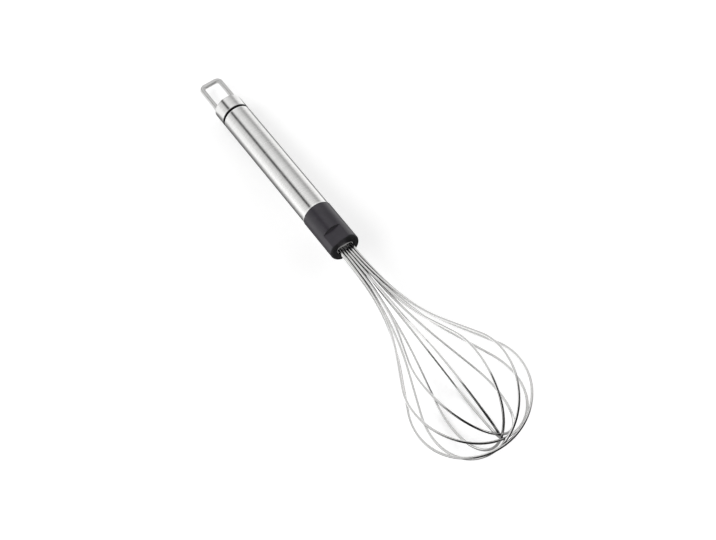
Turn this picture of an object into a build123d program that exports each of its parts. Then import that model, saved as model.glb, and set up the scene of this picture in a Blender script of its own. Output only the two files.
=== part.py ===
"""Balloon whisk: a tubular steel handle, a black collar and six bent wire loops."""

import math
import os

from build123d import *

# Sizes are in millimetres and angles in degrees.
# The whisk is drawn along X. X = 0 is the collar's end face, and the loops lie towards +X.
# Y runs along the two rows of wires and across the hanging loop.
# At the end the finished whisk is laid down on a level surface.

# Handle tube: drawn steel, open at both ends
tube_radius = 9.0
tube_wall = 1.0
tube_length = 90.7

# Collar: moulded plastic, pushed into the tube
collar_radius = 9.3
collar_length = 30.5
collar_end_round = 1.6
collar_edge_chamfer = 0.3
spigot_length = 14.0
spigot_bore_wall = 1.4
flat_height = 7.3
flat_length = 11.0
flat_ramp = 0.4
mouth_radius = 10.8
mouth_depth = 1.7
# The turn of the flats and of the dished mouth against the rows of wires
collar_cut_turn = 13

# Wires: spring steel, held in two flat rows of six
wire_diameter = 1.5
wire_gap = 0.06
wire_anchor_depth = 28.0

# Sleeve: a flattened steel tube that bundles the wires in the collar's mouth
sleeve_wall = 0.7
sleeve_length = 14.0
sleeve_setback = 1.0

# Wire block: the plastic plug that the wire ends are sealed in, behind the sleeve
block_length = 13.5

# Loops: the outline of one bent wire, from the neck to the pole, at the wire's middle
outer_pole_distance = 153.0
inner_head_radius = 34.9
head_radius_step = 0.25
neck_radius = 4.9
neck_distance = 20.0
# The flare's radius, as a share of the one at which the flare would touch the head
flare_share = 0.93
# The slope at which a wire joins its loop's own plane, as a share of the straight slope
spread_share = 0.5
# The angle of each loop's plane round the axis, and its place in the stack at the pole,
# counted from the outermost loop
plane_angles = (14, 47, 75, 103, 131, 159)
stack_place = (0, 1, 3, 5, 4, 2)

# Spacer ring: black plastic, flush with the tube
ring_thickness = 1.7
ring_recess = 0.05

# End cap: turned steel cup with a chamfered end face
cap_length = 11.2
cap_wall = 0.8
cap_face_thickness = 3.0
cap_chamfer_length = 1.6
cap_chamfer_depth = 2.1

# Hanging loop: one bent steel rod, its two legs through the cap's face
rod_diameter = 3.2
loop_width = 15.8
loop_height = 22.7
loop_corner_radius = 4.4
loop_leg_end = 2.2

# Loop plate: steel disc inside the cap that the legs are fixed in
plate_thickness = 1.4

# Cap plug: plastic plug that joins the cap and the ring to the tube
plug_body_length = 14.0
plug_neck_radius = 6.4
plug_head_length = 5.0
plug_edge_chamfer = 0.6

# Fits and cuts
push_fit = 0.04
sliding_fit = 0.05
overrun = 2.0

# Places along the handle, worked out from the sizes above
collar_back = -collar_length
tube_back = collar_back - tube_length
ring_back = tube_back - ring_thickness
cap_back = ring_back - cap_length
tube_bore_radius = tube_radius - tube_wall
cap_bore_radius = tube_radius - cap_wall
cap_floor = cap_back + cap_face_thickness

# Places of the wires and of what holds them
wire_pair_count = len(stack_place)
wire_radius = wire_diameter / 2
wire_pitch = wire_diameter + wire_gap
row_offset = wire_pitch / 2
sleeve_width = wire_pitch * (wire_pair_count - 1) + wire_diameter + 2 * (sliding_fit + sleeve_wall)
sleeve_front = -sleeve_setback
sleeve_back = sleeve_front - sleeve_length
block_back = sleeve_back - block_length
block_radius = tube_bore_radius - sliding_fit - spigot_bore_wall - push_fit


def rod_along_x(start, end, radius, y=0, z=0):
    """A round bar from one distance along X to another."""
    bar = Cylinder(radius, end - start, align=(Align.CENTER, Align.CENTER, Align.MIN))
    return Pos(start, y, z) * Rot(0, 90, 0) * bar


def sleeve_along_x(start, end, clearance):
    """A bar with the wire bundle's flattened section, wider than the bundle by a clearance."""
    width = wire_pitch * (wire_pair_count - 1) + wire_diameter + 2 * clearance
    height = wire_pitch + wire_diameter + 2 * clearance
    section = RectangleRounded(width, height, wire_radius + clearance)
    return extrude(Plane.YZ.offset(start) * section, amount=end - start)


def turned(points):
    """A solid turned about X from the corners (distance, radius) of its half outline."""
    outline = Polyline(*[(x, radius) for x, radius in points], close=True)
    return revolve(make_face(outline), Axis.X)


def make_handle_tube():
    """The plain drawn tube between the collar and the spacer ring."""
    outside = rod_along_x(tube_back, collar_back, tube_radius)
    bore = rod_along_x(tube_back - overrun, collar_back + overrun, tube_bore_radius)
    return outside - bore


def collar_body():
    """The collar's outside: a spigot for the tube, a round barrel and a rounded end."""
    spigot_radius = tube_bore_radius - sliding_fit
    spigot_back = collar_back - spigot_length
    barrel_radius = collar_radius - collar_edge_chamfer
    end_radius = collar_radius - collar_end_round
    outline = [
        Polyline(
            (0, end_radius),
            (0, 0),
            (spigot_back, 0),
            (spigot_back, spigot_radius),
            (collar_back, spigot_radius),
            (collar_back, barrel_radius),
            (collar_back + collar_edge_chamfer, collar_radius),
            (-collar_end_round, collar_radius),
        ),
        TangentArc((-collar_end_round, collar_radius), (0, end_radius), tangent=(1, 0)),
    ]
    return revolve(make_face(outline), Axis.X)


def flat_cutter():
    """The wedge that cuts one flat into the collar, with a short ramp at its start."""
    top = collar_radius + overrun
    ramp_run = flat_ramp * (top - flat_height) / (collar_radius - flat_height)
    corners = [
        (-flat_length, flat_height),
        (-flat_length - ramp_run, top),
        (overrun, top),
        (overrun, flat_height),
    ]
    side = make_face(Plane.XZ * Polyline(*corners, close=True))
    return extrude(side, amount=collar_radius, both=True)


def mouth_cutter():
    """The round bar across the collar's end that leaves it dished between two horns."""
    return Pos(mouth_radius - mouth_depth, 0, 0) * Cylinder(mouth_radius, 2 * (collar_radius + overrun))


def make_collar():
    """The black collar, hollow behind its mouth, with two flats and a dished end."""
    cutters = mouth_cutter(), flat_cutter(), Rot(180, 0, 0) * flat_cutter()
    collar = collar_body()
    for cutter in cutters:
        collar -= Rot(collar_cut_turn, 0, 0) * cutter
    collar -= sleeve_along_x(sleeve_back - overrun, overrun, sliding_fit + sleeve_wall + push_fit)
    spigot_back = collar_back - spigot_length
    return collar - rod_along_x(spigot_back - overrun, sleeve_back, block_radius + push_fit)


def make_wire_sleeve():
    """The flattened steel sleeve whose bright rim shows in the collar's mouth."""
    outside = sleeve_along_x(sleeve_back, sleeve_front, sliding_fit + sleeve_wall)
    return outside - sleeve_along_x(sleeve_back - overrun, sleeve_front + overrun, sliding_fit)


def row_places():
    """The places (y, z) of the front row's wires, the first on the +Y side."""
    middle = (wire_pair_count - 1) / 2
    return [((middle - number) * wire_pitch, row_offset) for number in range(wire_pair_count)]


def make_wire_block():
    """The plug behind the sleeve, with a blind hole for each of the twelve wire ends."""
    block = rod_along_x(block_back, sleeve_back, block_radius)
    for y, z in row_places():
        for side in (1, -1):
            hole_radius = wire_radius + push_fit / 2
            block -= rod_along_x(-wire_anchor_depth, overrun, hole_radius, side * y, side * z)
    return block


def meridian_point(distance, radius, angle):
    """A point at a distance along the whisk, out from its axis in the plane at an angle."""
    turn = math.radians(angle)
    return Vector(distance, radius * math.cos(turn), radius * math.sin(turn))


def meridian_direction(slope, angle):
    """The direction that leaves the axis by a slope, in the plane at an angle."""
    return meridian_point(math.cos(slope), math.sin(slope), angle)


def two_arcs(start, start_direction, end, end_direction):
    """Two arcs that join two points smoothly, each tangent to its direction."""
    chord = end - start
    both = start_direction + end_direction
    a = 2 * (1 - start_direction.dot(end_direction))
    b = 2 * chord.dot(both)
    reach = (-b + math.sqrt(b * b + 4 * a * chord.dot(chord))) / (2 * a)
    first_corner = start + start_direction * reach
    second_corner = end - end_direction * reach
    middle = (first_corner + second_corner) / 2
    across = second_corner - first_corner
    return [
        TangentArc(start, middle, tangent=start_direction),
        TangentArc(middle, end, tangent=across),
    ]


def loop_shape(number):
    """A loop's head centre and head radius, the radius of its flare, and its straight slope.

    The flare is the long arc that leads from the neck to the straight stretch, and the
    head is the arc that closes over the pole. The straight stretch is tangent to both.
    """
    place = stack_place[number]
    innermost = wire_pair_count - 1
    pole_distance = outer_pole_distance - place * wire_pitch
    head_radius = inner_head_radius - (innermost - place) * head_radius_step
    head_centre = pole_distance - head_radius
    along = head_centre - neck_distance
    touching = (along**2 + neck_radius**2 - head_radius**2) / (2 * (head_radius - neck_radius))
    flare_radius = flare_share * touching
    flare_height = neck_radius + flare_radius
    apart = math.hypot(along, flare_height)
    slope = math.asin((head_radius + flare_radius) / apart) - math.atan2(flare_height, along)
    return head_centre, head_radius, flare_radius, slope


def flare_point(flare_radius, slope, angle):
    """The point where a flare has reached a slope."""
    distance = neck_distance + flare_radius * math.sin(slope)
    return meridian_point(distance, neck_radius + flare_radius * (1 - math.cos(slope)), angle)


def half_loop(number, side):
    """The lines and arcs of one leg, from its sealed end to the pole."""
    head_centre, head_radius, flare_radius, slope = loop_shape(number)
    angle = plane_angles[number]
    if side < 0:
        angle += 180
    y, z = row_places()[number]
    sealed_end = Vector(-wire_anchor_depth, side * y, side * z)
    mouth = Vector(0, side * y, side * z)
    forward = Vector(1, 0, 0)

    first_slope = spread_share * slope
    flare_start = flare_point(flare_radius, first_slope, angle)
    flare_direction = meridian_direction(first_slope, angle)
    flare_end = flare_point(flare_radius, slope, angle)
    head_back = head_centre - head_radius * math.sin(slope)
    head_start = meridian_point(head_back, head_radius * math.cos(slope), angle)
    pole = Vector(head_centre + head_radius, 0, 0)
    return [
        Line(sealed_end, mouth),
        *two_arcs(mouth, forward, flare_start, flare_direction),
        TangentArc(flare_start, flare_end, tangent=flare_direction),
        Line(flare_end, head_start),
        TangentArc(head_start, pole, tangent=meridian_direction(slope, angle)),
    ]


def loop_path(number):
    """The whole line of one loop's wire, from one sealed end over the pole to the other."""
    return Wire([piece.edge() for piece in half_loop(number, 1) + half_loop(number, -1)])


def make_wire_loop(number):
    """One wire loop: a single bent steel wire."""
    path = loop_path(number)
    y, z = row_places()[number]
    start = Plane(origin=(-wire_anchor_depth, y, z), z_dir=(1, 0, 0))
    return sweep(start * Circle(wire_radius), path=path)


def make_spacer_ring():
    """The thin black ring between the tube and the end cap."""
    outside = rod_along_x(ring_back, tube_back, tube_radius - ring_recess)
    return outside - rod_along_x(ring_back - overrun, tube_back + overrun, plug_neck_radius + push_fit)


def leg_offset():
    """The distance of each leg of the hanging loop from the axis."""
    return (loop_width - rod_diameter) / 2


def make_end_cap():
    """The turned steel cup that closes the handle, with two holes for the loop's legs."""
    outside = turned(
        [
            (ring_back, 0),
            (ring_back, tube_radius),
            (cap_back + cap_chamfer_length, tube_radius),
            (cap_back, tube_radius - cap_chamfer_depth),
            (cap_back, 0),
        ]
    )
    cap = outside - rod_along_x(cap_floor, ring_back + overrun, cap_bore_radius)
    for side in (1, -1):
        hole_radius = rod_diameter / 2 + push_fit
        cap -= rod_along_x(cap_back - overrun, cap_floor + overrun, hole_radius, side * leg_offset())
    return cap


def make_hanging_loop():
    """The rod bent to a square-shouldered U, its legs through the end cap."""
    leg = leg_offset()
    leg_end = cap_floor + plate_thickness + loop_leg_end - rod_diameter / 2
    top = cap_back - loop_height + rod_diameter / 2
    corner = loop_corner_radius - rod_diameter / 2
    path = FilletPolyline((leg_end, leg), (top, leg), (top, -leg), (leg_end, -leg), radius=corner)
    start = Plane(origin=(leg_end, leg, 0), z_dir=(-1, 0, 0))
    return sweep(start * Circle(rod_diameter / 2), path=path)


def make_loop_plate():
    """The steel disc inside the cap that both legs of the hanging loop are fixed in."""
    plate = rod_along_x(cap_floor, cap_floor + plate_thickness, cap_bore_radius - push_fit)
    for side in (1, -1):
        hole_radius = rod_diameter / 2 + push_fit / 2
        plate -= rod_along_x(cap_floor - overrun, ring_back, hole_radius, side * leg_offset())
    return plate


def make_cap_plug():
    """The plastic plug: a head in the cap, a neck through the ring and a body in the tube."""
    body_radius = tube_bore_radius - sliding_fit
    head_radius = cap_bore_radius - sliding_fit
    head_back = ring_back - plug_head_length
    body_front = tube_back + plug_body_length
    outside = [
        (head_back, 0),
        (head_back, head_radius - plug_edge_chamfer),
        (head_back + plug_edge_chamfer, head_radius),
        (ring_back, head_radius),
        (ring_back, plug_neck_radius),
        (tube_back, plug_neck_radius),
        (tube_back, body_radius),
        (body_front - plug_edge_chamfer, body_radius),
        (body_front, body_radius - plug_edge_chamfer),
        (body_front, 0),
    ]
    return turned(outside)


def least_wire_gap():
    """The least gap between any two loops, measured on points along their wires."""
    samples = 400
    lines = []
    for number in range(wire_pair_count):
        path = loop_path(number)
        lines.append([path.position_at(step / samples) for step in range(samples + 1)])
    least = math.inf
    for first in range(wire_pair_count):
        for second in range(first + 1, wire_pair_count):
            for point in lines[first]:
                nearest = min((point - other).length for other in lines[second])
                least = min(least, nearest - wire_diameter)
    return least


def resting_angles():
    """The plane angles of the two neighbouring loops that the whisk lies on."""
    second = wire_pair_count // 2
    return plane_angles[second - 1], plane_angles[second]


def resting_pitch():
    """How far the axis rises towards the loops when cap and loops lie on one surface."""
    first_angle, second_angle = resting_angles()
    half_spread = math.radians((second_angle - first_angle) / 2)
    head_centre, head_radius, *_ = loop_shape(wire_pair_count // 2)
    head_reach = head_radius * math.cos(half_spread) + wire_radius
    span = head_centre - cap_back - cap_chamfer_length
    lean = math.atan2(tube_radius, span)
    return math.degrees(math.asin(head_reach / math.hypot(span, tube_radius)) - lean)


def resting_roll():
    """The turn about the axis that sets two neighbouring loops down side by side."""
    return 90 - sum(resting_angles()) / 2


def laid_down(pieces):
    """All pieces on a level surface, with the origin under the middle of the whisk."""
    turn = Rot(0, -resting_pitch(), 0) * Rot(resting_roll(), 0, 0)
    turned_pieces = {name: turn * shape for name, shape in pieces.items()}
    boxes = [shape.bounding_box() for shape in turned_pieces.values()]
    low = [min(tuple(box.min)[axis] for box in boxes) for axis in range(3)]
    high = [max(tuple(box.max)[axis] for box in boxes) for axis in range(3)]
    shift = Pos(-(low[0] + high[0]) / 2, -(low[1] + high[1]) / 2, -low[2])
    return {name: shift * shape for name, shape in turned_pieces.items()}, shift


def make_pieces():
    """Every piece of the whisk, by name."""
    pieces = {
        "handle_tube": make_handle_tube(),
        "spacer_ring": make_spacer_ring(),
        "end_cap": make_end_cap(),
        "cap_plug": make_cap_plug(),
        "loop_plate": make_loop_plate(),
        "hanging_loop": make_hanging_loop(),
        "collar": make_collar(),
        "wire_sleeve": make_wire_sleeve(),
        "wire_block": make_wire_block(),
    }
    for number in range(wire_pair_count):
        pieces[f"wire_loop_{number + 1}"] = make_wire_loop(number)
    return pieces


os.makedirs("parts", exist_ok=True)
placed, shift = laid_down(make_pieces())
for name, shape in placed.items():
    export_step(shape, f"parts/{name}.step")
print("resting pitch", round(resting_pitch(), 3), "roll", resting_roll(), "shift", shift.position)
print("least gap between two loops", round(least_wire_gap(), 3))
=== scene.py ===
import math

import bpy
from mathutils import Euler, Matrix, Vector

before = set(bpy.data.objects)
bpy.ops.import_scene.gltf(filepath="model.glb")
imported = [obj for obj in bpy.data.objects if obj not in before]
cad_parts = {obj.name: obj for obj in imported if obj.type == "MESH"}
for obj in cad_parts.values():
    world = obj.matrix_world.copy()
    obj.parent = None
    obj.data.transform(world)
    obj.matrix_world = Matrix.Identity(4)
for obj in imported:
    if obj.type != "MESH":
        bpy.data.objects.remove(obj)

for name in ("Cube", "Light", "Camera"):
    if name in bpy.data.objects:
        bpy.data.objects.remove(bpy.data.objects[name])
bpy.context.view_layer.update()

# Handle tube
# A drawn steel tube of 18 mm with its ends cut square. It is polished with a belt while it
# turns, so the grain runs round it. A pale band painted at each end stands for the
# highlight on its edges, and hands leave faint smudges on it.

MM = 0.001
# How the finished whisk lies, and the ends of the tube in millimetres along the axis
whisk_turn = Euler((math.radians(1.0), math.radians(-6.067), 0))
whisk_start = Vector((1.51574, 0, 22.9665)) * MM
tube_front, tube_back = -30.5, -121.2


def fill(tree, socket, value):
    """Puts a number, a colour or another node's output into a socket."""
    if isinstance(value, bpy.types.NodeSocket):
        tree.links.new(value, socket)
    else:
        socket.default_value = value


def maths(tree, operation, *values):
    """A Math node with its inputs filled in."""
    node = tree.nodes.new("ShaderNodeMath")
    node.operation = operation
    for socket, value in zip(node.inputs, values):
        fill(tree, socket, value)
    return node.outputs[0]


def scaled_to(tree, value, low, high, new_low, new_high):
    """A value eased from one range to another and held inside it."""
    node = tree.nodes.new("ShaderNodeMapRange")
    node.interpolation_type = "SMOOTHSTEP"
    for socket, given in zip(node.inputs, (value, low, high, new_low, new_high)):
        fill(tree, socket, given)
    return node.outputs[0]


def mask(tree, value, low, high):
    """A mask that rises from 0 to 1 between two values."""
    return scaled_to(tree, value, low, high, 0, 1)


def fading(tree, value, low, high):
    """A mask that falls from 1 to 0 between two values."""
    return scaled_to(tree, value, low, high, 1, 0)


def times(tree, first, second):
    """A product."""
    return maths(tree, "MULTIPLY", first, second)


def total(tree, first, *others):
    """A sum of two or more values."""
    for other in others:
        first = maths(tree, "ADD", first, other)
    return first


def noise(tree, vector, size, detail, rough=0.5):
    """Plain noise on a vector, in lumps of about a size."""
    node = tree.nodes.new("ShaderNodeTexNoise")
    tree.links.new(vector, node.inputs["Vector"])
    fill(tree, node.inputs["Scale"], 1 / size)
    node.inputs["Detail"].default_value = detail
    node.inputs["Roughness"].default_value = rough
    return node.outputs[0]


def place_on_whisk(tree):
    """The place on the whisk in millimetres: along its axis, and across it in two directions."""
    here = tree.nodes.new("ShaderNodeTexCoord")
    mapping = tree.nodes.new("ShaderNodeMapping")
    mapping.vector_type = "TEXTURE"
    mapping.inputs["Location"].default_value = whisk_start
    mapping.inputs["Rotation"].default_value = whisk_turn
    mapping.inputs["Scale"].default_value = (MM, MM, MM)
    tree.links.new(here.outputs["Object"], mapping.inputs["Vector"])
    return mapping.outputs[0]


def apart(tree, vector):
    """The three numbers of a vector."""
    node = tree.nodes.new("ShaderNodeSeparateXYZ")
    tree.links.new(vector, node.inputs[0])
    return node.outputs


def together(tree, x, y, z):
    """A vector made of three numbers."""
    node = tree.nodes.new("ShaderNodeCombineXYZ")
    for socket, value in zip(node.inputs, (x, y, z)):
        fill(tree, socket, value)
    return node.outputs[0]


def effect(name, inputs, outputs):
    """An empty node group with named number inputs and outputs."""
    group = bpy.data.node_groups.new(name, "ShaderNodeTree")
    for label, value in inputs.items():
        socket = group.interface.new_socket(label, in_out="INPUT", socket_type="NodeSocketFloat")
        socket.default_value = value
    for label in outputs:
        group.interface.new_socket(label, in_out="OUTPUT", socket_type="NodeSocketFloat")
    given = group.nodes.new("NodeGroupInput").outputs
    made = group.nodes.new("NodeGroupOutput").inputs
    return group, given, made


# Grain that belts and lathe tools leave round the axis, on sides and end faces alike
grain_sizes = {"Line width": 0.12, "Run": 9.0}
lines_in_band = 14
turned_grain, given, made = effect("turned grain", grain_sizes, ["Lines", "Bands"])
x, y, z = apart(turned_grain, place_on_whisk(turned_grain))
squares = [maths(turned_grain, "POWER", value, 2) for value in (y, z)]
reach = maths(turned_grain, "SQRT", total(turned_grain, *squares))
across = maths(turned_grain, "DIVIDE", total(turned_grain, x, reach), given["Line width"])
run_y, run_z = (maths(turned_grain, "DIVIDE", value, given["Run"]) for value in (y, z))
across_bands = maths(turned_grain, "DIVIDE", across, lines_in_band)
fine = noise(turned_grain, together(turned_grain, across, run_y, run_z), 1.0, 3, 0.6)
broad = noise(turned_grain, together(turned_grain, across_bands, run_y, run_z), 1.0, 2)
fill(turned_grain, made["Lines"], mask(turned_grain, fine, 0.3, 0.7))
fill(turned_grain, made["Bands"], mask(turned_grain, broad, 0.35, 0.65))

# Smudges that hands and washing leave
smudges, given, made = effect("smudges", {"Size": 9.0, "Amount": 0.5}, ["Smudge"])
spot = noise(smudges, place_on_whisk(smudges), 1.0, 4, 0.6)
fill(smudges, spot.node.inputs["Scale"], maths(smudges, "DIVIDE", 1, given["Size"]))
fill(smudges, made["Smudge"], times(smudges, mask(smudges, spot, 0.45, 0.68), given["Amount"]))

# A band beside a joint or an edge that runs round the whisk. It carries dirt and wear, and also
# painted highlights on edges
band_sizes = {"Place": 0.0, "Reach": 1.0, "Broken": 0.5}
edge_band, given, made = effect("edge band", band_sizes, ["Band"])
here = place_on_whisk(edge_band)
offset = maths(edge_band, "SUBTRACT", apart(edge_band, here)[0], given["Place"])
distance = maths(edge_band, "ABSOLUTE", offset)
near = fading(edge_band, maths(edge_band, "DIVIDE", distance, given["Reach"]), 0, 1)
gaps = mask(edge_band, noise(edge_band, here, 1.6, 3), 0.35, 0.6)
whole = maths(edge_band, "SUBTRACT", 1, times(edge_band, given["Broken"], gaps))
fill(edge_band, made["Band"], times(edge_band, near, whole))


def use(tree, group, **values):
    """Places an effect in a material with its own values."""
    node = tree.nodes.new("ShaderNodeGroup")
    node.node_tree = group
    for label, value in values.items():
        fill(tree, node.inputs[label.replace("_", " ")], value)
    return node.outputs


def blend_colours(tree, share, first, second):
    """One colour turning into another."""
    node = tree.nodes.new("ShaderNodeMix")
    node.data_type = "RGBA"
    fill(tree, node.inputs["Factor"], share)
    fill(tree, node.inputs["A"], first if isinstance(first, bpy.types.NodeSocket) else (*first, 1))
    fill(tree, node.inputs["B"], (*second, 1))
    return node.outputs["Result"]


def finish(name, **constants):
    """A material with one plain surface shader, its even values set on the shader itself."""
    material = bpy.data.materials.new(name)
    material.use_nodes = True
    surface = material.node_tree.nodes["Principled BSDF"]
    for label, value in constants.items():
        surface.inputs[label.replace("_", " ")].default_value = value
    return material, material.node_tree, surface.inputs


def raise_surface(tree, surface, height, depth, strength=1.0):
    """Fine relief of a real depth in metres."""
    bump = tree.nodes.new("ShaderNodeBump")
    bump.inputs["Strength"].default_value = strength
    bump.inputs["Distance"].default_value = depth
    tree.links.new(height, bump.inputs["Height"])
    tree.links.new(bump.outputs[0], surface["Normal"])


def round_the_axis(tree, surface):
    """Lets reflections spread along the axis, as they do off grain that runs round it."""
    tangent = tree.nodes.new("ShaderNodeTangent")
    tangent.direction_type = "RADIAL"
    tangent.axis = "X"
    tree.links.new(tangent.outputs[0], surface["Tangent"])


def roughen(tree, surface, base, *shares):
    """Sets the roughness: a base, and masks that each add their share."""
    level = total(tree, base, *(times(tree, value, share) for value, share in shares))
    fill(tree, surface["Roughness"], level)


def painted_highlight_lip(tree, surface, colour, lip_highlight):
    """Paints a highlight on an edge: turns it pale and partly dull, and gives the new colour."""
    fill(tree, surface["Metallic"], maths(tree, "SUBTRACT", 1, times(tree, lip_highlight, highlight_lip_dull_share)))
    return blend_colours(tree, lip_highlight, colour, highlight_lip_colour)


def dress(names, material):
    """Puts a finish on CAD nodes."""
    for name in names:
        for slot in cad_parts[name].material_slots:
            slot.material = material


line_dark, line_light = (0.71, 0.707, 0.70), (0.89, 0.887, 0.88)
band_colour, band_share = (0.76, 0.755, 0.745), 0.35
# A pale, partly dull colour for the painted highlights on the steel's edges
highlight_lip_colour, highlight_lip_dull_share = (0.97, 0.97, 0.965), 0.7
steel, tree, surface = finish("tube steel", Anisotropic=0.6, Anisotropic_Rotation=0.25)
grain = use(tree, turned_grain, Line_width=0.11, Run=7.0)
smudge = use(tree, smudges, Size=11.0, Amount=0.7)["Smudge"]
colour = blend_colours(tree, grain["Lines"], line_dark, line_light)
colour = blend_colours(tree, times(tree, grain["Bands"], band_share), colour, band_colour)
# Painted highlights: pale, partly dull bands at the tube's two ends
front_lip_highlight = use(tree, edge_band, Place=tube_front, Reach=1.5, Broken=0.1)["Band"]
back_lip_highlight = use(tree, edge_band, Place=tube_back, Reach=1.0, Broken=0.3)["Band"]
colour = painted_highlight_lip(tree, surface, colour, maths(tree, "MAXIMUM", front_lip_highlight, back_lip_highlight))
fill(tree, surface["Base Color"], colour)
roughen(tree, surface, 0.15, (grain["Lines"], 0.08), (smudge, 0.10))
raise_surface(tree, surface, grain["Lines"], 0.004 * MM, 0.6)
round_the_axis(tree, surface)
dress(["handle_tube"], steel)

# Collar
# A moulded plastic socket, charcoal with a fine matt texture. Its spigot is pushed into the
# tube, and its two flats and its dished mouth show.

plastic_dark, plastic_light = (0.020, 0.017, 0.024), (0.028, 0.024, 0.032)
back_wear_and_highlight, front_wear_and_highlight = (0.09, 0.09, 0.095), (0.08, 0.08, 0.085)
painted_light_step, painted_shade_mouth = (0.055, 0.053, 0.057), (0.003, 0.003, 0.004)
back_edge, front_edge = -30.4, -0.2
mouth_begins, steps_end = (-1.9, -0.9), (-8, -6)
charcoal, tree, surface = finish("collar plastic", IOR=1.52)
smudge = use(tree, smudges, Size=6.0, Amount=0.6)["Smudge"]
here = place_on_whisk(tree)
along = apart(tree, here)[0]
texture = noise(tree, here, 0.16, 3, 0.6)
cloud = mask(tree, noise(tree, here, 5.0, 3), 0.3, 0.7)
colour = blend_colours(tree, cloud, plastic_dark, plastic_light)
# Pale bands at the back and front edges: wear, and a painted highlight on each edge
wear_and_highlight = use(tree, edge_band, Place=back_edge, Reach=0.5, Broken=0.7)["Band"]
colour = blend_colours(tree, times(tree, wear_and_highlight, 0.5), colour, back_wear_and_highlight)
wear_and_highlight = use(tree, edge_band, Place=front_edge, Reach=1.0, Broken=0.8)["Band"]
colour = blend_colours(tree, times(tree, wear_and_highlight, 0.4), colour, front_wear_and_highlight)
# Painted light: the steps at the ends of the flats face forwards, and are painted paler to lighten
# the shade on them
facing = tree.nodes.new("ShaderNodeNewGeometry").outputs["True Normal"]
forwards = mask(tree, apart(tree, facing)[0], 0.6, 0.9)
painted_light_on_steps = times(tree, forwards, fading(tree, along, *steps_end))
colour = blend_colours(tree, painted_light_on_steps, colour, painted_light_step)
# Painted shade: the dished mouth and the rounded end are painted near black; they are also rougher
mouth = mask(tree, along, *mouth_begins)
fill(tree, surface["Base Color"], blend_colours(tree, mouth, colour, painted_shade_mouth))
roughen(tree, surface, 0.26, (texture, 0.12), (mouth, 0.5), (smudge, 0.12))
raise_surface(tree, surface, texture, 0.02 * MM, 0.5)
dress(["collar"], charcoal)

# Wire sleeve
# A flattened steel tube pressed round the twelve wires, which it holds in two flat rows.
# Only its rim shows, in the collar's mouth, made bright with a painted highlight.

sleeve_clean, sleeve_smudged = (0.90, 0.895, 0.88), (0.72, 0.71, 0.70)
sleeve_front = -1.0
bright, tree, surface = finish("sleeve steel")
smudge = use(tree, smudges, Size=2.0, Amount=0.6)["Smudge"]
# Painted highlight: a pale, partly dull band on the rim
rim_highlight = use(tree, edge_band, Place=sleeve_front, Reach=0.8, Broken=0.2)["Band"]
colour = blend_colours(tree, smudge, sleeve_clean, sleeve_smudged)
fill(tree, surface["Base Color"], painted_highlight_lip(tree, surface, colour, rim_highlight))
roughen(tree, surface, 0.16, (smudge, 0.2))
raise_surface(tree, surface, noise(tree, place_on_whisk(tree), 0.3, 2), 0.01 * MM, 0.4)
dress(["wire_sleeve"], bright)

# Wire loops
# Six loops of 1.5 mm spring steel wire. They are drawn bright, bent to shape, threaded
# through each other at the pole and sealed into the collar.

wire_dark, wire_light = (0.77, 0.767, 0.76), (0.89, 0.887, 0.88)
gap_shade_colour, gap_shade_reach = (0.05, 0.048, 0.046), 2.5 * MM
wire, tree, surface = finish("wire steel", Metallic=1.0)
drawn = noise(tree, place_on_whisk(tree), 0.5, 3, 0.6)
smudge = use(tree, smudges, Size=7.0, Amount=0.8)["Smudge"]
colour = blend_colours(tree, mask(tree, drawn, 0.3, 0.7), wire_dark, wire_light)
# Painted shade: the colour darkens where wires lie close together, as shade falls between them
close = tree.nodes.new("ShaderNodeAmbientOcclusion")
close.inputs["Distance"].default_value = gap_shade_reach
gap_shade = fading(tree, close.outputs["AO"], 0.50, 0.96)
fill(tree, surface["Base Color"], blend_colours(tree, gap_shade, colour, gap_shade_colour))
roughen(tree, surface, 0.06, (drawn, 0.05), (smudge, 0.08))
raise_surface(tree, surface, drawn, 0.006 * MM, 0.4)
dress([f"wire_loop_{number}" for number in range(1, 7)], wire)

# Spacer ring
# A thin moulded ring of black plastic. It sits on the cap's plug, between the tube and the
# end cap.

ring_dark, ring_light = (0.002, 0.002, 0.002), (0.005, 0.005, 0.0055)
black, tree, surface = finish("ring plastic", IOR=1.12)
texture = noise(tree, place_on_whisk(tree), 0.2, 3)
fill(tree, surface["Base Color"], blend_colours(tree, texture, ring_dark, ring_light))
roughen(tree, surface, 0.42, (texture, 0.15))
raise_surface(tree, surface, texture, 0.01 * MM, 0.5)
dress(["spacer_ring"], black)

# Plug and wire block
# Plain moulded plastic inside the cap and the collar. All of it is hidden, but for the
# little that shows between the wires.

plug_dark, plug_light = (0.018, 0.018, 0.018), (0.045, 0.045, 0.045)
plug, tree, surface = finish("plug plastic", IOR=1.5)
texture = noise(tree, place_on_whisk(tree), 0.4, 3)
fill(tree, surface["Base Color"], blend_colours(tree, texture, plug_dark, plug_light))
roughen(tree, surface, 0.45, (texture, 0.2))
raise_surface(tree, surface, texture, 0.02 * MM, 0.5)
dress(["cap_plug", "wire_block"], plug)

# End cap and loop plate
# A turned steel cup, faced and chamfered on a lathe, with two holes for the loop's legs.
# The plate inside it holds the legs.

turned_dark, turned_light = (0.72, 0.717, 0.71), (0.86, 0.857, 0.85)
joint_dirt, cap_front = (0.01, 0.01, 0.01), -122.9
cap, tree, surface = finish("cap steel", Anisotropic=0.5, Anisotropic_Rotation=0.25)
grain = use(tree, turned_grain, Line_width=0.15, Run=12.0)
smudge = use(tree, smudges, Size=6.0, Amount=0.6)["Smudge"]
colour = blend_colours(tree, grain["Lines"], turned_dark, turned_light)
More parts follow.
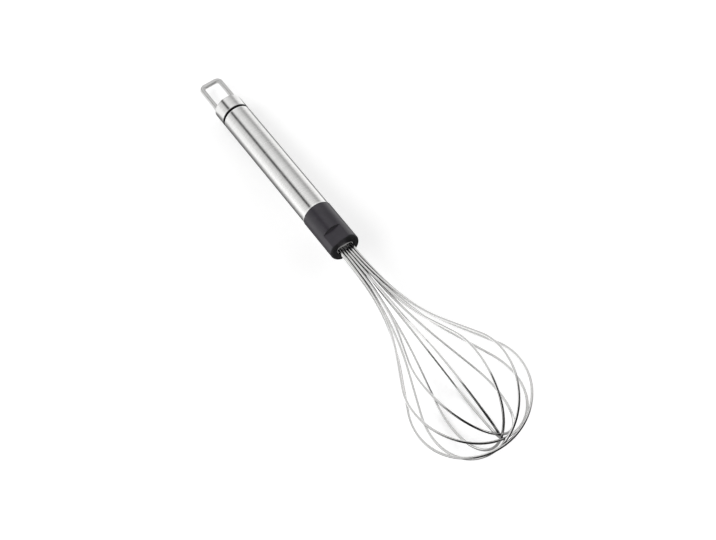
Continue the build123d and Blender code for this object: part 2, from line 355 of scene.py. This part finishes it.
# Painted highlight: a pale, partly dull band at the cap's front edge
lip_highlight = use(tree, edge_band, Place=cap_front, Reach=1.2, Broken=0.2)["Band"]
colour = painted_highlight_lip(tree, surface, colour, lip_highlight)
joint = use(tree, edge_band, Place=cap_front, Reach=0.6, Broken=0.1)["Band"]
fill(tree, surface["Base Color"], blend_colours(tree, joint, colour, joint_dirt))
roughen(tree, surface, 0.14, (grain["Lines"], 0.08), (smudge, 0.10))
raise_surface(tree, surface, grain["Lines"], 0.005 * MM, 0.6)
round_the_axis(tree, surface)
dress(["end_cap", "loop_plate"], cap)

# Hanging loop
# A steel rod of 3.2 mm bent to a U and tumbled, so it has a satin finish. Its legs go
# through the cap.

satin_dark, satin_light = (0.64, 0.637, 0.63), (0.74, 0.737, 0.73)
rod, tree, surface = finish("rod steel", Metallic=1.0)
satin = noise(tree, place_on_whisk(tree), 0.25, 3, 0.6)
smudge = use(tree, smudges, Size=5.0, Amount=0.6)["Smudge"]
colour = blend_colours(tree, mask(tree, satin, 0.3, 0.7), satin_dark, satin_light)
fill(tree, surface["Base Color"], colour)
roughen(tree, surface, 0.34, (satin, 0.08), (smudge, 0.10))
raise_surface(tree, surface, satin, 0.008 * MM, 0.5)
dress(["hanging_loop"], rod)

# Floor
# A plain white table, much larger than the whisk. Cameras see it near white, with the
# whisk's shadow kept.


def stage_sheet(name, corners, faces, material):
    """A piece of the studio: flat sheets of one material."""
    mesh = bpy.data.meshes.new(name)
    mesh.from_pydata(corners, [], faces)
    mesh.materials.append(material)
    sheet = bpy.data.objects.new(name, mesh)
    bpy.context.scene.collection.objects.link(sheet)
    return sheet


floor_half = 1.6
floor_white, reflected_shade_grey = (0.8, 0.8, 0.8), (0.18, 0.18, 0.18)
camera_glow, steel_glow, dim_share, far_glow = 0.45, 0.45, 0.40, 0.25
# Places along the whisk and beside it in millimetres, with the shares that go with them
low_end, high_end, low_share = -160, -40, 1.35
dim_middle, dim_edge, clear_edge, bright_edge = 8, 20, 62, 150
behind_cap, past_neck, near_pole, pole_share = (-147, -139), (15, 65), (85, 125), 0.9
white = bpy.data.materials.new("floor white")
white.use_nodes = True
tree = white.node_tree
surface = tree.nodes["Principled BSDF"].inputs
surface["Roughness"].default_value = 0.9
surface["Specular IOR Level"].default_value = 0.0
surface["Emission Color"].default_value = (1, 1, 1, 1)
path = tree.nodes.new("ShaderNodeLightPath").outputs
# Painted shade and light for the steel alone: it sees the table dark close to the handle and under
# the pole, and glowing brighter farther out
along, side, _ = apart(tree, place_on_whisk(tree))
side = times(tree, side, scaled_to(tree, along, low_end, high_end, low_share, 1))
side = maths(tree, "ABSOLUTE", maths(tree, "SUBTRACT", side, dim_middle))
handle = times(tree, mask(tree, along, *behind_cap), fading(tree, along, *past_neck))
under_pole = scaled_to(tree, along, *near_pole, 0, pole_share)
beside = times(tree, handle, fading(tree, side, dim_edge, clear_edge))
reflected_shade = maths(tree, "MAXIMUM", beside, under_pole)
reflected_shade_seen = times(tree, reflected_shade, path["Is Glossy Ray"])
fill(tree, surface["Base Color"], blend_colours(tree, reflected_shade_seen, floor_white, reflected_shade_grey))
# The table glows for the steel: less where painted shade lies, and more far beside the handle as
# painted light
shine = maths(tree, "SUBTRACT", steel_glow, times(tree, reflected_shade, dim_share))
far_off = scaled_to(tree, side, dim_edge, bright_edge, 0, far_glow)
shine = total(tree, shine, times(tree, handle, far_off))
glow = times(tree, path["Is Glossy Ray"], shine)
glow = total(tree, glow, times(tree, path["Is Camera Ray"], camera_glow))
fill(tree, surface["Emission Strength"], glow)
edge = floor_half
corners = [(-edge, -edge, 0), (edge, -edge, 0), (edge, edge, 0), (-edge, edge, 0)]
floor = stage_sheet("floor", corners, [(0, 1, 2, 3)], white)

# Dark card
# A folded black card that lies and leans beyond the loops. Cameras don't see it, and only
# the steel shows it.

card_half, card_front, card_far, card_lift = 0.35, 0.18, 1.0, 0.001
lean_top, lean_foot = (0.20, 0.30), (0.60, 0.002)
dark = bpy.data.materials.new("card black")
dark.use_nodes = True
surface = dark.node_tree.nodes["Principled BSDF"].inputs
surface["Base Color"].default_value = (0.004, 0.004, 0.004, 1)
edges = ((card_front, card_lift), (card_far, card_lift), lean_top, lean_foot)
corners = [(x, y, z) for x, z in edges for y in (-card_half, card_half)]
card = stage_sheet("dark_card", corners, [(0, 2, 3, 1), (4, 5, 7, 6)], dark)
card.visible_camera = card.visible_diffuse = False
card.visible_shadow = card.visible_transmission = False

# Studio light
# The steel sees long bright panels beside the whisk and above it, with a narrow dark gap
# between two of them. Two soft boxes and an even light do the rest.

world = bpy.data.worlds.new("studio")
bpy.context.scene.world = world
world.use_nodes = True
tree = world.node_tree
for node in list(tree.nodes):
    tree.nodes.remove(node)
here = tree.nodes.new("ShaderNodeTexCoord")
mapping = tree.nodes.new("ShaderNodeMapping")
mapping.vector_type = "TEXTURE"
mapping.inputs["Rotation"].default_value = whisk_turn
tree.links.new(here.outputs["Generated"], mapping.inputs["Vector"])
x, y, z = apart(tree, mapping.outputs[0])
round_angle = maths(tree, "ARCTAN2", y, z)
ramp = tree.nodes.new("ShaderNodeValToRGB")
fill(tree, ramp.inputs[0], maths(tree, "ADD", maths(tree, "DIVIDE", round_angle, 2 * math.pi), 0.5))
# Angle round the whisk in degrees, from straight up, and how bright the studio is there
studio = [
    (-180, 0.60), (-95, 1.35), (-80, 1.42), (-68, 1.15), (-50, 1.00), (-38, 0.80),
    (-31, 0.12), (-22, 0.12), (-14, 0.95), (-5, 1.22), (18, 1.08), (38, 0.84),
    (52, 0.60), (62, 0.60), (76, 1.10), (89, 1.50), (180, 0.60),
]
stops = ramp.color_ramp.elements
while len(stops) > 1:
    stops.remove(stops[-1])
for number, (angle, level) in enumerate(studio):
    share = (angle + 180) / 360
    stop = stops[0] if number == 0 else stops.new(share)
    stop.position = share
    stop.color = (level, level, level, 1)
# Steel sees the pattern. All else gets an even light, dimmer from beyond the loops, and
# cameras see a pale wall as bright as the far floor.
wall_level, spot_level = 1.03, 0.1
even_light, far_light = 0.66, 0.25
# Directions along the axis, for a dim spot behind the cap and for the fade beyond the loops
spot_edge, beyond_loops = (-0.99, -0.93), (0.1, 0.7)
behind = scaled_to(tree, x, *spot_edge, spot_level, 1.0)
path = tree.nodes.new("ShaderNodeLightPath").outputs
others = maths(tree, "SUBTRACT", 1, path["Is Glossy Ray"])
pattern = times(tree, path["Is Glossy Ray"], times(tree, ramp.outputs[0], behind))
even = scaled_to(tree, x, *beyond_loops, even_light, far_light)
plain = times(tree, even, others)
wall = times(tree, path["Is Camera Ray"], wall_level)
level = maths(tree, "MAXIMUM", total(tree, pattern, plain), wall)
background = tree.nodes.new("ShaderNodeBackground")
output = tree.nodes.new("ShaderNodeOutputWorld")
fill(tree, background.inputs["Strength"], level)
tree.links.new(background.outputs[0], output.inputs[0])

box_length, box_width, aim = 1.0, 0.7, Vector((0, 0, 0.03))
soft_boxes = (
    ("softbox_left", Vector((-0.10, -0.75, 0.65)), 5.0),
    ("softbox_right", Vector((0.05, 0.80, 0.60)), 3.0),
)
for name, place, power in soft_boxes:
    lamp = bpy.data.lights.new(name, "AREA")
    lamp.shape = "RECTANGLE"
    lamp.size, lamp.size_y, lamp.energy = box_length, box_width, power
    box = bpy.data.objects.new(name, lamp)
    box.location = place
    box.rotation_euler = (aim - place).to_track_quat("-Z", "Y").to_euler()
    box.visible_glossy = False
    bpy.context.scene.collection.objects.link(box)

# Camera
# It stands where the photograph was taken from, above the loops and looking back along
# the whisk.

camera_place = Vector((374.83, -218.53, 760.83)) * MM
right, up, back = (
    (0.55262, 0.8331, -0.02352), (-0.71883, 0.49072, 0.49242), (0.42178, -0.25522, 0.87004),
)
camera = bpy.data.objects.new("camera", bpy.data.cameras.new("camera"))
camera.data.sensor_width = 36.0
camera.data.lens = 75.808
facing = Matrix((right, up, back)).transposed().to_4x4()
camera.matrix_world = Matrix.Translation(camera_place) @ facing
bpy.context.scene.collection.objects.link(camera)
bpy.context.scene.camera = camera
bpy.context.scene.view_settings.view_transform = "Standard"
